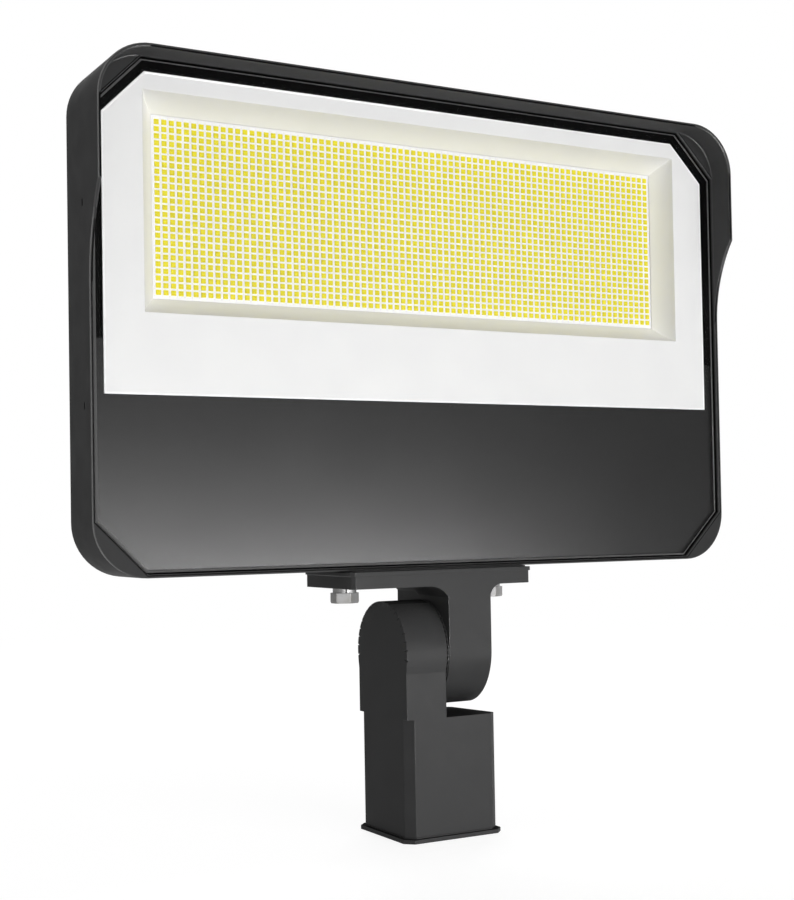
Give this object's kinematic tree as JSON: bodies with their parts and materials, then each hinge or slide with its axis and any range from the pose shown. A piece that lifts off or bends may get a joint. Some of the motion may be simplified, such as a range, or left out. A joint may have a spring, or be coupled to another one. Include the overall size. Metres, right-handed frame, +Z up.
{
  "type": "floodlight",
  "caption": "Rectangular LED floodlight head with a visor round its top, on a tilting pole-top slipfitter with a toothed knuckle.",
  "frame": {"origin": "centre of the mouth of the tenon socket, on the slipfitter's bottom face", "axes": "+Z up along the tenon and away from the pole, +X to the right facing the lens, -Y the way the light shines"},
  "size_m": [0.564, 0.1025, 0.5775],
  "materials": {
    "knuckle_casting": "satin",
    "bracket_casting": "satin",
    "housing_casting": "satin",
    "cover_casting": "satin",
    "plated_steel": "satin",
    "stainless_screws": "satin",
    "silicone_rubber": "matte",
    "clear_glass": "gloss",
    "white_reflector": "satin",
    "board_white": "satin",
    "led_phosphor": "satin",
    "thermal_pad": "matte",
    "connector_plastic": "satin",
    "black_sheet": "gloss",
    "driver_case": "satin",
    "surge_case": "satin",
    "lead_insulation": "satin",
    "vent_plastic": "matte"
  },
  "bodies": {
    "slipfitter": {"slipfitter_body": "knuckle_casting", "tenon_set_screws": "plated_steel", "pivot_bolt": "plated_steel", "pivot_flat_washer": "plated_steel", "pivot_spring_washer": "plated_steel"},
    "head": {"bracket": "bracket_casting", "housing": "housing_casting", "rear_cover": "cover_casting", "bracket_bolts": "plated_steel", "bracket_spring_washers": "plated_steel", "rear_cover_screws": "stainless_screws", "board_screws": "stainless_screws", "bracket_gasket": "silicone_rubber", "lens_gasket": "silicone_rubber", "rear_cover_gasket": "silicone_rubber", "lead_grommets": "silicone_rubber", "lens_glass": "clear_glass", "reflector": "white_reflector", "led_board": "board_white", "led_rows": "led_phosphor", "thermal_pad": "thermal_pad", "board_connectors": "connector_plastic", "terminal_block": "connector_plastic", "baffle_plate": "black_sheet", "led_drivers": "driver_case", "surge_protector": "surge_case", "ac_leads": "lead_insulation", "dc_leads": "lead_insulation", "breather_vent": "vent_plastic"}
  },
  "joints": [
    {"name": "tilt", "type": "hinge", "parent": "slipfitter", "child": "head", "pos_m": [0, 0, 0.1425], "axis": [1, 0, 0], "range_deg": [-90, 90]}
  ]
}
